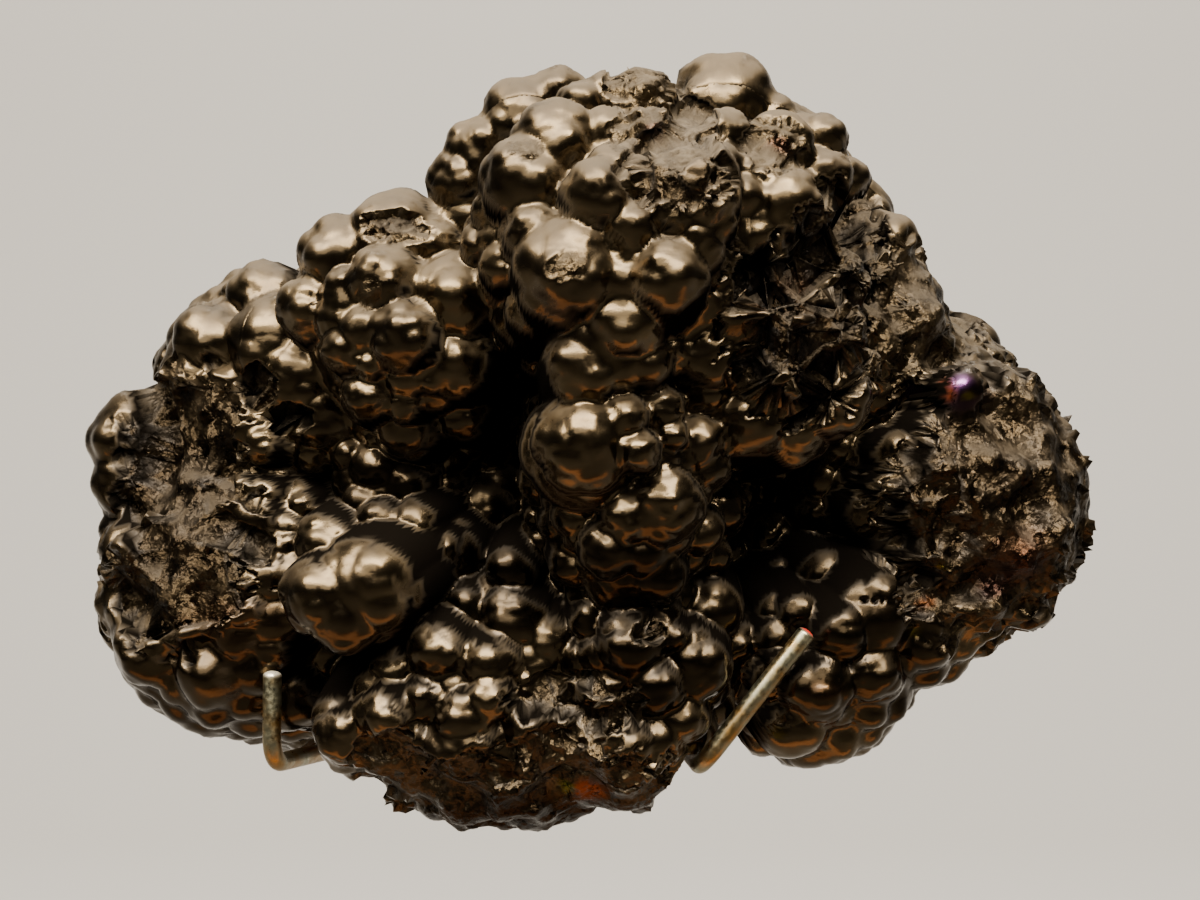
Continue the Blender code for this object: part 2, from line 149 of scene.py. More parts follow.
# Bubbles on each lobe: place as seen (x, z), radius as seen, and how far it stands out
BUBBLES = {
    "crown": [
        (-9.6, 82.2, 5.6, 3), (-5.5, 85.3, 3.9, 2), (-2.3, 83.8, 3.5, 2), (1, 85, 3.6, 2),
        (-5.6, 79, 5.8, 3.4), (-9.3, 74.4, 6, 4.4), (-0.3, 72.4, 4.7, 3.2), (-8.4, 67.4, 4, 2.6),
        (-12.4, 63.4, 3.2, 1.8), (-3.9, 62.6, 7.2, 4.6), (8.9, 62, 5, 4.2), (-17.8, 69.9, 4.6, 2.6),
        (-17.4, 74, 4.8, 2.2), (-15, 78.2, 4.8, 2), (-15.3, 66.2, 2.8, 1.8), (16, 84.2, 6.7, 4),
        (15.8, 80, 3.8, 2), (21.5, 81.5, 4.4, 2.6), (7, 81, 3.5, 2), (5.5, 85, 4.6, 2.2),
        (11.3, 73.3, 7, 3.8), (12.4, 75.4, 2.4, 4.2), (4.2, 68.3, 3.4, 1.4), (15.2, 68.8, 2.4, 1.4),
        (12.5, 67, 3, 1.5), (0.5, 53, 7.4, 4.4), (-1.7, 50.4, 5.3, 8.8), (3.2, 56.2, 5.2, 3.6),
        (6.2, 50.8, 3.2, 5), (-8.5, 57.5, 3.6, 1.6), (6, 58.5, 3, 1.5), (-13.5, 70.5, 3, 1.6),
    ],
    "crown_right": [
        (28.5, 79.5, 3.5, 2), (31.5, 74.5, 3.4, 2), (29, 75, 3.6, 2), (24, 71.2, 4.7, 3),
        (23, 79, 4.6, 2.2), (20.6, 68.2, 3.8, 2.4), (19.9, 65.1, 3.4, 3), (17.5, 64.4, 3.1, 2.6),
        (28.5, 70, 3.4, 1.8), (19, 75.5, 3.2, 1.6),
    ],
    "brow": [
        (10, 57, 4, 2), (14.2, 52, 4.6, 2.8), (13.8, 47.8, 4, 2.6), (19.5, 43.5, 5, 2.6),
        (25, 42.5, 5, 2.4), (29.5, 46.5, 5.5, 2), (24, 50, 5, 2), (30, 55, 5.5, 2), (31, 62, 5, 3),
        (17, 58, 4.5, 2.4), (33.5, 50, 4, 2),
    ],
    "column": [
        (-1.6, 39.3, 8, 5), (-2, 40.4, 6.4, 8.4), (-6.9, 44.5, 2.6, 3.4), (3.4, 43.8, 2.8, 5.4),
        (5, 39.3, 2.6, 5.2), (8, 45, 2.8, 3.4), (9.2, 41.4, 2.1, 3), (12.6, 40.4, 3.4, 4),
        (13.3, 37.6, 3.7, 3.2), (8.3, 32.4, 5.2, 2.8), (8.5, 33.4, 3.8, 3.6), (8, 36.6, 1.6, 1.6),
        (1.3, 26.7, 3.9, 2.4), (-8.3, 30.8, 1.5, 1.6), (-5.5, 29.9, 2.4, 1.4), (-3.5, 25, 3.2, 1.6),
        (7.8, 23.4, 3.6, 2.2), (-1, 20.5, 3, 1.5), (14.5, 26, 2.5, 1.5), (15, 32, 4, 1.6),
        (-7, 35.5, 3.5, 1.5), (3.5, 31, 3.6, 1.6), (13, 29, 3, 1.4),
    ],
    "column_foot": [
        (14.3, 18.8, 4.3, 2.8), (3.9, 14.2, 4.4, 3), (12, 12, 5, 2), (7, 9, 4, 1.5),
        (-1, 17.5, 3, 1.5), (17, 14.5, 3.4, 1.5), (10, 5, 4, 1.2), (8.5, 18.6, 1.8, 1.4),
        (9.7, 15.4, 1.8, 1.6),
    ],
    "saddle": [
        (-11.2, 17.4, 4.6, 1.8), (-13.5, 20.5, 3.4, 1), (-17, 18.9, 3.7, 2), (-15.5, 24.5, 3, 1),
        (-6.9, 14.8, 3.6, 2.4), (-8.5, 12, 4, 1.6), (-11.6, 28.3, 2.2, 1.2), (-8, 24.5, 3, 1.2),
        (-5.5, 18.5, 2.6, 1.4),
    ],
    "bottom_top": [
        (-20.6, 13.5, 4.5, 5), (-14.2, 11.8, 3.9, 4), (-22.5, 7.3, 3.2, 3.4), (-17.6, 4.9, 3.9, 3.8),
        (-14.2, 7.4, 3.3, 3.8),
    ],
    "bottom": [(-17.5, 1.5, 6, 2.4), (-10.5, 8.5, 4, 2), (-9, 3, 4, 1.6)],
    "bottom_left": [(-27.5, 5.2, 3.6, 2.4), (-24, 2.4, 2.3, 2), (-33, 3, 4, 1.5)],
    "left_shoulder": [
        (-26.6, 67, 6.2, 3), (-33.6, 64.4, 5.4, 2.6), (-37.5, 57.8, 4.3, 2.4), (-33, 60.6, 2.6, 1.4),
        (-28.1, 61.4, 4.6, 2.8), (-19.2, 59.2, 5.7, 4), (-25.2, 54.3, 4.7, 3.6),
        (-18.5, 50.7, 4.6, 3.4), (-16.2, 52.6, 2.2, 3), (-31.2, 55.2, 2.5, 1.5),
        (-33.1, 52.6, 3.2, 1.8), (-29.6, 50.6, 2, 1.1), (-29.9, 46.8, 3.4, 1.8),
        (-21.5, 49.5, 3.2, 1.6), (-25, 42.5, 4.3, 2.4), (-25.4, 45.3, 2.2, 2), (-18, 44.8, 4.3, 2.4),
        (-28.5, 41.5, 2.2, 1), (-16.5, 64.5, 3.5, 1.5), (-21.5, 65.5, 4, 2),
    ],
    "left_wall": [
        (-32.5, 39, 2.5, 1.3), (-29, 37, 3, 1.5), (-25.5, 35, 3.2, 2), (-20, 35, 2.8, 1.5),
        (-20.5, 32.5, 2.2, 1), (-26, 31.5, 3, 1.5),
    ],
    "left_back": [
        (-43.2, 59.2, 4.9, 2.4), (-50.3, 53.6, 4.8, 2), (-53.4, 48.2, 3.8, 2), (-57, 44, 3.6, 1.8),
        (-60, 41, 6, 5.5), (-60, 35.5, 5.5, 4.5), (-41.5, 53.2, 6.5, 4), (-38.8, 49, 6.3, 4.3),
        (-35.6, 44.6, 5.8, 4.2), (-33, 41, 4.4, 3.4), (-43.6, 40.3, 2.7, 2), (-36.7, 39.6, 3, 2),
    ],
    "left_lobe": [
        (-46, 19, 3, 1.5), (-41, 18, 3, 1.5), (-38.5, 32, 2.6, 1.6), (-36, 36.2, 2.7, 1.6),
        (-41.5, 36.5, 2.4, 1.2), (-43.5, 33.5, 2.6, 1.2), (-40.5, 27, 2.4, 1), (-33.5, 32, 2.4, 1.2),
        (-42.5, 14, 3, 1.2), (-50, 11, 5, 1.6), (-58, 14, 5, 1.6), (-40, 8, 5, 1.6), (-34, 9, 4, 1.5),
        (-60, 25, 4, 1.5),
    ],
    "knob_back": [
        (-28.5, 30, 3.2, 1.6), (-24, 30.2, 3, 1.6), (-20.6, 26.5, 3, 1.8), (-24.6, 26.4, 3.2, 2),
        (-21.2, 22, 2.8, 2),
    ],
    "knob": [(-29.7, 22.1, 7.2, 2.4), (-35.8, 20.8, 5.5, 2), (-32.8, 18.6, 5.4, 1.8)],
    "right_back": [
        (41, 56.5, 4.5, 1.5), (35.5, 62, 4, 1), (39, 43.5, 3.5, 2.5), (32.5, 69.5, 5.5, 3),
        (36.5, 65.5, 5, 2.2),
    ],
    "right_lobe": [
        (46.5, 46.8, 3.7, 5.2), (53, 45.5, 5, 1.2), (58, 29, 4.5, 2), (57.5, 24, 3.5, 1.5),
        (55.5, 19.5, 3.5, 1.2), (50, 20, 4, 1.5), (54, 26.5, 4, 1.5), (50, 27, 3, 1.2),
    ],
    "right_foot": [
        (37, 26.5, 5, 3), (34.5, 18.5, 6.5, 3), (31, 16, 4, 2), (28, 9, 5, 1.8), (25, 4.5, 5, 1.6),
        (35, 11, 4, 1.4), (32, 28, 4, 2),
    ],
}

# Places where the crust is broken away: centre as seen (x, z), half width, half height, depth
BREAKS = [
    (10, 75.6, 6.6, 5, 1.3), (6, 86.5, 5, 3.6, 0.7), (5.5, 81, 4.6, 3.4, 0.5), (12, 82, 3, 3, 0.9),
    (23, 79, 3.9, 3.5, 0.9), (26, 55, 9.5, 11.5, 2.4), (21, 62.3, 3.8, 3, 4.5),
    (31, 66, 6.5, 6.5, 1.6), (40, 57, 10, 10, 1), (52, 33, 16, 18, 1.2), (-53.5, 37, 9, 13, 1.8),
    (-55, 24, 10, 10, 1.8), (-40.3, 43.4, 2.8, 2.1, 3.4), (-44, 47.6, 1.9, 3, 2.2),
    (-26.5, 68.4, 4.4, 2, 1.1), (-4, 63.3, 2.6, 2.1, 0.15), (-9.5, 78.5, 2.4, 1.2, 0.2),
    (-30, 59.5, 1.7, 1.9, 0.15), (-27, -1.5, 5, 4.5, 1.1), (-8, -7, 20, 9.5, 1.2),
    (-3.4, 6.3, 8, 4.2, 1.2), (6.3, 16, 1.8, 1.8, 1.4), (-47, 28, 5, 5, 1.6), (-51.5, 43.5, 5, 6, 1),
]

# Scraps of crust left in the broken places: centre as seen, half length, half width, turn in degrees
SCRAPS = [
    (12.4, 75.4, 2.2, 2.2, 0), (-43.2, 29.8, 5.2, 1.1, -25), (-47.5, 32.2, 1.6, 0.8, -10),
    (-53, 15.5, 2.2, 1, 15), (-57, 14.2, 1.8, 1, -10), (-62, 29, 2.2, 1.6, 70),
    (18.7, 56.6, 3, 0.8, 8), (17.4, 54.4, 1.5, 1.3, 0), (23.5, 48.5, 1.5, 0.9, 30),
    (24.8, 46.4, 1.3, 0.8, -20), (31.5, 48.5, 1.7, 0.8, 20), (33.2, 49.8, 1.2, 0.7, 60),
    (34.5, 45.5, 1.5, 1, -30), (26.5, 56.5, 1.8, 0.8, -5), (29.5, 61, 1.4, 0.8, 40),
    (-7.5, 4.8, 3, 0.9, 22), (-3, 8.2, 2.2, 1, -35), (0.5, 6.6, 1.6, 0.8, 20), (-4, 4.4, 1.8, 0.8, 0),
    (-32.3, 2.4, 2.4, 0.9, 80), (46.5, 46.8, 3.4, 3.4, 0), (39, 43.3, 3, 2.6, 0),
    (45.7, 53.2, 0.9, 0.9, 0),
]

# Stains, tarnish colours and painted shade: centre as seen, half width, half height, colour and
# strength. The dark rows over the crater at (-26.1, 68.3), the column's foot, the saddle, the hollow
# under the crown at (29, 24), the valley over the knob, the right foot and the pocket at (28, 57) are
# painted shade where those places lie in shadow. The other dark rows darken the crust's tone in a patch.
STAINS_AND_PAINTED_SHADE = [
    (46.4, 46.8, 3.6, 3.6, "#2c1430", 0.9), (44.4, 47.2, 1.5, 1.9, "#a8481a", 0.9),
    (46.6, 48.2, 1.6, 1.2, "#8a5a9c", 0.9), (47.6, 46.6, 0.8, 0.7, "#857722", 0.9),
    (54, 26, 5.5, 4.5, "#3f1a12", 0.7), (50, 22, 3, 2.4, "#361620", 0.6),
    (-1.3, -4.4, 3, 1.6, "#8a4418", 0.8), (-4.4, -4, 1.3, 1, "#5f6a1c", 0.8),
    (44, 24.3, 1, 0.8, "#8a7a1e", 0.8), (40.3, 16, 1, 0.8, "#8a7a1e", 0.8),
    (42, 20, 1.4, 1, "#7e4312", 0.7), (23, 3, 1.2, 1, "#7e6a1a", 0.6),
    (29, 8.5, 2.6, 1.6, "#6e3c12", 0.5), (6.9, 80.9, 1.6, 1.2, "#6a504a", 0.6),
    # The last row on the next line is painted shade in the crater under the shoulder's lip.
    (23, 78.6, 2, 1.6, "#50342a", 0.6), (-26.1, 68.3, 3.8, 1.3, "#17110a", 0.9),
    # Painted shade on the next two lines: the column's foot, the saddle, the hollow under the crown, the
    # valley over the knob.
    (7, 16, 13, 15, "#1c150d", 0.7), (-12, 24, 11, 9, "#1a130c", 0.7),
    (29, 24, 10, 13, "#191209", 0.6), (-29, 34, 9, 5, "#1a130c", 0.7),
    (50, 36, 16, 16, "#2a2016", 0.5), (-3.4, 6.3, 8, 4, "#332c22", 0.6),
    (-54, 33, 11, 14, "#30271c", 0.6), (11, 77, 9, 7, "#352c20", 0.6),
    # The right foot's row, last on the next line, is painted shade.
    (25, 56, 11, 11, "#221a11", 0.5), (33, 13, 14, 12, "#1e160d", 0.55),
    (-48, 8, 16, 9, "#2a1e13", 0.5), (-46, 17, 9.5, 4.6, "#4a3320", 0.5),
    (-8, -8, 16, 4, "#241a11", 0.7), (24.5, 60.5, 3, 2, "#4e3420", 0.6),
    # The first row on the next line is painted shade in the pocket at (28, 57).
    (28, 57, 3, 3, "#1c1209", 0.7), (20, 58.5, 2, 1.5, "#543620", 0.6),
]

# Each mark, painted shade included, fades out between these shares of its half sizes.
STAIN_AND_SHADE_FADE = (1.2, 0.5)

# The breaks' ragged edges: waves of these sizes move an edge by these shares of a place's half size.
RAGGED = [(9.0, 0.1), (4.0, 0.12), (1.7, 0.1), (0.9, 0.05)]

# Everything behind this Y part of a line is one old break, this deep, with a wavy edge.
BREAK_BACK = 0.45
BACK_DEPTH = 1.2
BACK_RAGGED = 0.5

# Breaks have crumbs of these sizes, reliefs and tilts.
CRUMBS = [(3.0, 0.35, 0.5), (1.4, 0.5, 0.45), (0.8, 0.32, 0.4)]

# Breaks shallower than this have lower relief, down to this share of it.
COARSE_DEPTH = 2.0
COARSE_LEAST = 0.6

# Shallow swellings of a bubble's skin, with creases between them: size and rise
SWELLS = [(4.6, 0.5), (2.2, 0.08)]

# The lobes themselves are drawn in by this much, so that deep creases stay between the bubbles.
LOBE_SINK = 1.2

# Small bubbles on every lobe: their spacing, radii, and the share of a radius that stands out
COVER_SPACING = 5.0
COVER_RADII = (2.8, 4.4)
COVER_RISE = 0.35
COVER_JITTER = 0.9

# A placed bubble keeps seeded ones off this share of its radius, as the eye sees it, unless their
# middles lie further back than its own by more than this share of it.
OWN_GROUND = 1.05
OWN_DEPTH = 0.35

# Low swellings on every placed bubble: how many on a ball, their radius and rise as shares of it, and
# between what shares of these the count and the radius vary
PETAL_COUNT = 14
PETAL_RADIUS = 0.64
PETAL_RISE = 0.09
PETAL_JITTER = 0.9
PETAL_COUNT_SPREAD = (0.7, 1.3)
PETAL_SIZE_SPREAD = (0.85, 1.15)

# Seeded bubbles, spread evenly: lines over the whole ball, radii, and the share of a radius that
# stands out. Large ones cover the sides and back that no photograph shows, small ones fill the front.
HIDDEN_FILL = (230, (4.0, 8.0), 0.42)
FRONT_FILL = (900, (2.6, 4.4), 0.3)
HIDDEN_FROM = 0.08
FILL_JITTER = 0.3

# The stone's seat over the rods: height of the rods' top and gap, half width, and slope beside it
SEAT_TOP = 1.54
SEAT_HALF_WIDTH = 2.3
SEAT_SLOPE = 2.5
SEAT_HALVINGS = 18

# A box that holds every point of the stone, for the grids of grains and crumbs. A cell's middle lies
# between these shares of the cell, and its top is lowered by up to these shares of its size.
GRAIN_BOX = np.array([[-80.0, -105.0, -25.0], [80.0, 10.0, 100.0]])
CELL_MIDDLES = (0.1, 0.9)
GRAIN_TOPS = (-0.3, 0)
CRUMB_TOPS = (-0.5, 0)

# A crumb's sides fall this steeply, and it is turned in one of so many ways.
CRUMB_SLOPE = 1.4
CRUMB_TURNS = 64

# Where each rod's axis runs, from the wall to the tip of its hook
ROD_RADIUS = 1.19
RODS = {
    "left_hook": [(-27, 0, 0), (-27, -10, 0), (-41.3, -60.9, 0), (-41.1, -61.8, 11.8)],
    "right_hook": [(10, 0, 0), (10, -10, 0), (12.6, -64.4, 0), (26, -64.6, 17)],
}


def placed(x, z, y):
    """The real point at depth y that is seen at (x, z), and the scale there."""
    scale = (y - EYE[1]) / (SIGHT_PLANE - EYE[1])
    return np.array([x * scale, y, EYE[2] + (z - EYE[2]) * scale]), scale


def lobe_bodies():
    """Each lobe as an ellipsoid: its real centre and its three real half sizes."""
    bodies = {}
    for name, (x, z, y, half_width, half_height, half_depth) in LOBES.items():
        centre, scale = placed(x, z, y)
        bodies[name] = (centre, np.array([half_width * scale, half_depth, half_height * scale]))
    return bodies


def bubble_bodies(lobes):
    """Each bubble as a ball: the eye's line through its place meets its lobe, where it stands out."""
    bodies = []
    for name, rows in BUBBLES.items():
        centre, half = lobes[name]
        for x, z, radius, rise in rows:
            line = placed(x, z, SIGHT_PLANE)[0] - EYE
            line /= np.linalg.norm(line)
            start = (EYE - centre) / half
            step = line / half
            square, middle = step @ step, start @ step
            root = middle * middle - square * (start @ start - 1)
            hit = EYE + line * (-middle - math.sqrt(max(root, 0))) / square
            scale = (hit[1] - EYE[1]) / (SIGHT_PLANE - EYE[1])
            sink = radius * scale - rise if root > 0 else 0
            bodies.append((hit + line * sink, np.full(3, radius * scale)))
    return bodies


def shells(points):
    """Which of the surfaces at an even distance from the disc each point lies on: that distance.

    A line's point at distance r is HEART + (DISC + r) * line, so the three sizes offset / (DISC + r)
    have squares that add up to 1. They shrink as r grows, and r is found by halving.
    """
    low, high = np.full(len(points), 1e-3), np.full(len(points), SHELL_FURTHEST)
    for _ in range(SHELL_HALVINGS):
        middle = (low + high) / 2
        beyond = (((points - HEART) / (DISC + middle[:, None])) ** 2).sum(1) > 1
        low, high = np.where(beyond, middle, low), np.where(beyond, high, middle)
    return high


def reach(starts, lines, bodies):
    """Along each line, where it leaves the last rounded body that it crosses, and the normal there.

    In a body's own units the body is a unit ball. A line that passes its centre at a distance miss
    leaves it the root of 1 - miss squared past its nearest point. Where that falls away more steeply
    than SKIRT, a cone that touches the ball there goes on down at that slope, so that no cliff is left.
    Lines of like direction are taken together, with only the bodies that lie near them.
    """
    centres = np.array([centre for centre, half in bodies])
    halves = np.array([half for centre, half in bodies])
    depths = shells(centres)[:, None]
    far, outward = np.full(len(lines), LEAST_REACH), lines.copy()
    keys = np.floor((lines + 1) * GROUPS_PER_UNIT) @ GROUP_NUMBERS
    order = np.argsort(keys, kind="stable")
    edges = np.flatnonzero(np.diff(keys[order])) + 1
    for group in np.split(order, edges):
        mean = lines[group].mean(0)
        spread = np.linalg.norm(lines[group] - mean, axis=1).max()
        away = np.linalg.norm(HEART + (DISC + depths) * mean - centres, axis=1)
        near = away < 2 * halves.max(1) + spread * (DISC.max() + depths[:, 0])
        start = (starts[group][:, None] - centres[near]) / halves[near]
        step = lines[group][:, None] / halves[near]
        square = (step * step).sum(2)
        nearest = -(start * step).sum(2) / square
        miss = np.sqrt(np.maximum((start * start).sum(2) - nearest * nearest * square, 1e-9))
        ball = np.sqrt(np.maximum(1 - miss * miss, 0))
        cone = math.hypot(1, SKIRT) - SKIRT * miss
        leave = nearest + np.where(miss < SKIRT / math.hypot(1, SKIRT), ball, cone) / np.sqrt(square)
        last = (np.arange(len(group)), leave.argmax(1))
        sideways = start[last] + step[last] * nearest[last][:, None]
        slope = np.minimum(1 / np.maximum(ball[last], 1e-3), SKIRT / miss[last])
        normal = step[last] / np.sqrt(square[last])[:, None] + sideways * slope[:, None]
        normal /= halves[near][last[1]]
        far[group] = np.maximum(leave[last], LEAST_REACH)
        outward[group] = normal / np.linalg.norm(normal, axis=1)[:, None]
    return far, outward


def even_lines(count):
    """Unit vectors spread evenly over a ball, each turned by the golden angle from the last."""
    index = np.arange(count)
    up = 1 - (2 * index + 1) / count
    turn = index * math.pi * (3 - math.sqrt(5))
    flat = np.sqrt(1 - up * up)
    return np.stack([flat * np.cos(turn), flat * np.sin(turn), up], 1)


def fill_bodies(lobes, fill, low, high, seeds):
    """Seeded bubbles on the lobes, on the lines whose Y is between low and high."""
    count, sizes, rise = fill
    lines = even_lines(count) + seeds.normal(size=(count, 3)) * FILL_JITTER / math.sqrt(count)
    lines /= np.linalg.norm(lines, axis=1)[:, None]
    radii = seeds.uniform(*sizes, count)
    starts = HEART + DISC * lines
    depth = reach(starts, lines, list(lobes.values()))[0] - radii * (1 - rise)
    centres = starts + lines * depth[:, None]
    keep = (lines[:, 1] > low) & (lines[:, 1] < high)
    return [(centre, np.full(3, radius)) for centre, radius in zip(centres[keep], radii[keep])]


def cover_bodies(lobes, seeds):
    """Small bubbles all over each lobe, standing out of it by a share of their radius."""
    bodies = []
    for centre, half in lobes.values():
        area = 4 * math.pi * (half[0] * half[1] * half[2]) ** (2 / 3)
        count = int(area / COVER_SPACING ** 2)
        lines = even_lines(count) + seeds.normal(size=(count, 3)) * COVER_JITTER / math.sqrt(count)
        lines /= np.linalg.norm(lines, axis=1)[:, None]
        outward = lines / half
        outward /= np.linalg.norm(outward, axis=1)[:, None]
        radii = seeds.uniform(*COVER_RADII, count)[:, None]
        centres = centre + half * lines - outward * radii * (1 - COVER_RISE)
        bodies += [(middle, np.full(3, radius[0])) for middle, radius in zip(centres, radii)]
    return bodies


def petals(bubbles, seeds):
    """Low swellings all over each bubble: smaller balls, set so that they stand out a little."""
    bodies = []
    for centre, half in bubbles:
        count = int(PETAL_COUNT * seeds.uniform(*PETAL_COUNT_SPREAD))
        lines = even_lines(count) + seeds.normal(size=(count, 3)) * PETAL_JITTER / math.sqrt(count)
        turn = np.linalg.qr(seeds.normal(size=(3, 3)))[0]
        lines = lines @ turn / np.linalg.norm(lines, axis=1)[:, None]
        sizes = PETAL_RADIUS * seeds.uniform(*PETAL_SIZE_SPREAD, count)[:, None]
        middles = centre + half * lines * (1 + PETAL_RISE - sizes)
        bodies += list(zip(middles, half * sizes))
    return bodies


def clear_of(bodies, bubbles):
    """The seeded bodies, less those that would sit on a placed bubble as the eye sees it."""
    middles = np.array([centre for centre, half in bodies])
    centres = np.array([centre for centre, half in bubbles])
    radii = np.array([half[0] for centre, half in bubbles])
    x, z = as_seen(middles)
    own_x, own_z = as_seen(centres)
    near = np.hypot(x[:, None] - own_x, z[:, None] - own_z) < OWN_GROUND * radii
    on_it = near & (middles[:, 1:2] < centres[:, 1] + OWN_DEPTH * radii)
    return [body for body, covered in zip(bodies, on_it.any(1)) if not covered]


def waves(points, size, seeds, count=6):
    """Soft noise between about -1 and 1: sine waves of about this size in random directions, summed."""
    turns = seeds.normal(size=(3, count)) * (2 * math.pi / size) / math.sqrt(3)
    shifts = seeds.uniform(0, 2 * math.pi, count)
    return np.sin(points @ turns + shifts).sum(1) / math.sqrt(count)


def grains(points, size, seeds, tilt=0.0):
    """Rounded grains that meet in creases, from about 0 down to -1.

    Each cell of a grid of this size has a middle with a bowl upside down on it, tilted a little, and
    every point takes the highest bowl over it.
    """
    low, high = GRAIN_BOX
    cells = np.ceil((high - low) / size).astype(int)
    place = seeds.uniform(*CELL_MIDDLES, (*cells, 3))
    lift = seeds.uniform(*GRAIN_TOPS, cells)
    slope = seeds.normal(size=(*cells, 3)) * tilt
    home = ((points - low) / size).astype(int)
    height = np.full(len(points), -np.inf)
    for shift in np.ndindex(3, 3, 3):
        cell = home + np.array(shift) - 1
        key = tuple(cell.T)
        offset = (points - low) / size - cell - place[key]
        bowl = lift[key] - (offset * offset).sum(1) + (offset * slope[key]).sum(1)
        height = np.maximum(height, bowl)
    return height


def crumbs(points, size, seeds, tilt):
    """Angular crumbs with flat facets that meet in sharp creases, from about 0 down to -1.

    As grains, but each cell's bowl is a four-sided peak: the largest of the three sizes of the offset
    in a frame that is turned at random.
    """
    low, high = GRAIN_BOX
    cells = np.ceil((high - low) / size).astype(int)
    place = seeds.uniform(*CELL_MIDDLES, (*cells, 3))
    lift = seeds.uniform(*CRUMB_TOPS, cells)
    slope = seeds.normal(size=(*cells, 3)) * tilt
    frames = np.linalg.qr(seeds.normal(size=(CRUMB_TURNS, 3, 3)))[0]
    kind = seeds.integers(CRUMB_TURNS, size=cells)
    home = ((points - low) / size).astype(int)
    height = np.full(len(points), -np.inf)
    for shift in np.ndindex(3, 3, 3):
        cell = home + np.array(shift) - 1
        key = tuple(cell.T)
        offset = (points - low) / size - cell - place[key]
        turned = np.einsum("nij,nj->ni", frames[kind[key]], offset)
        peak = lift[key] - CRUMB_SLOPE * np.abs(turned).max(1) + (offset * slope[key]).sum(1)
        height = np.maximum(height, peak)
    return height


def as_seen(points):
    """Where the eye sees each point on the sight plane, as (x, z)."""
    scale = (points[:, 1] - EYE[1]) / (SIGHT_PLANE - EYE[1])
    return points[:, 0] / scale, EYE[2] + (points[:, 2] - EYE[2]) / scale


def broken_away(points, lines, seeds):
    """How deep the crust is broken at each point, with ragged edges, and 0 where it is whole.

    A place is an ellipse as the eye sees it: a point is in it where the root of its two offsets over
    the half sizes, squared and added, is under 1 with the waves added.
    """
    x, z = as_seen(points)
    ragged = sum(share * waves(points, size, seeds) for size, share in RAGGED)
    deep = np.zeros(len(points))
    for centre_x, centre_z, half_width, half_height, depth in BREAKS:
        away = np.hypot((x - centre_x) / half_width, (z - centre_z) / half_height)
        inside = (away + ragged < 1) & (lines[:, 1] < HIDDEN_FROM)
        deep = np.maximum(deep, np.where(inside, depth, 0))
    for centre_x, centre_z, half_length, half_width, turn in SCRAPS:
        turn = math.radians(turn)
        along = (x - centre_x) * math.cos(turn) + (z - centre_z) * math.sin(turn)
        across = (z - centre_z) * math.cos(turn) - (x - centre_x) * math.sin(turn)
        deep[np.hypot(along / half_length, across / half_width) + ragged < 1] = 0
    behind = lines[:, 1] + BACK_RAGGED * ragged > BREAK_BACK
    return np.where(behind, np.maximum(deep, BACK_DEPTH), deep)


def rod_distance(points):
    """How far each point is from the nearer rod's line, looking straight down."""
    near = np.full(len(points), np.inf)
    for route in RODS.values():
        for start, end in zip(route[:2], route[1:3]):
            start = np.array(start[:2], float)
            run = np.array(end[:2], float) - start
            along = np.clip(((points[:, :2] - start) @ run) / (run @ run), 0, 1)
            near = np.minimum(near, np.linalg.norm(points[:, :2] - start - along[:, None] * run, axis=1))
    return near


def seated(starts, lines, far):
    """Draw the surface in to its seat where it would hang lower over a rod, by halving the step."""
    def spare(distance):
        """How far the points at this distance are above their seat."""
        points = starts + lines * distance[:, None]
        aside = np.maximum(rod_distance(points) - SEAT_HALF_WIDTH, 0)
        return points[:, 2] - SEAT_TOP + SEAT_SLOPE * aside

    low, high = np.zeros_like(far), far.copy()
    for _ in range(SEAT_HALVINGS):
        middle = (low + high) / 2
        clear = spare(middle) > 0
        low, high = np.where(clear, middle, low), np.where(clear, high, middle)
    return np.where(spare(far) > 0, far, low)


def cube_grid(cells):
    """A closed cube from -1 to 1 cut into cells along each edge: its points, and its outward quads.

    Each face is an even grid of whole-number corners, and equal corners of two faces are made one.
    """
    first, second = np.meshgrid(np.arange(cells + 1), np.arange(cells + 1), indexing="ij")
    low, high = np.zeros_like(first), np.full_like(first, cells)
    faces = [(high, first, second), (low, second, first), (second, high, first),
             (first, low, second), (first, second, high), (second, first, low)]
    corners = np.concatenate([np.stack(face, 2).reshape(-1, 3) for face in faces])
    places, index = np.unique(corners, axis=0, return_inverse=True)
    index = index.reshape(6, cells + 1, cells + 1)
    return places * 2 / cells - 1, grid_quads(index)


def grid_quads(index):
    """The four corners of each cell of a grid of point numbers, or of a stack of such grids."""
    near, far = index[..., :-1], index[..., 1:]
    quads = np.stack([near[..., :-1, :], near[..., 1:, :], far[..., 1:, :], far[..., :-1, :]], -1)
    return quads.reshape(-1, 4)


def ramp(values, low, high):
    """0 below low, 1 above high, and a smooth rise between them. Low may be the larger one."""
    share = np.clip((values - low) / (high - low), 0, 1)
    return share * share * (3 - 2 * share)


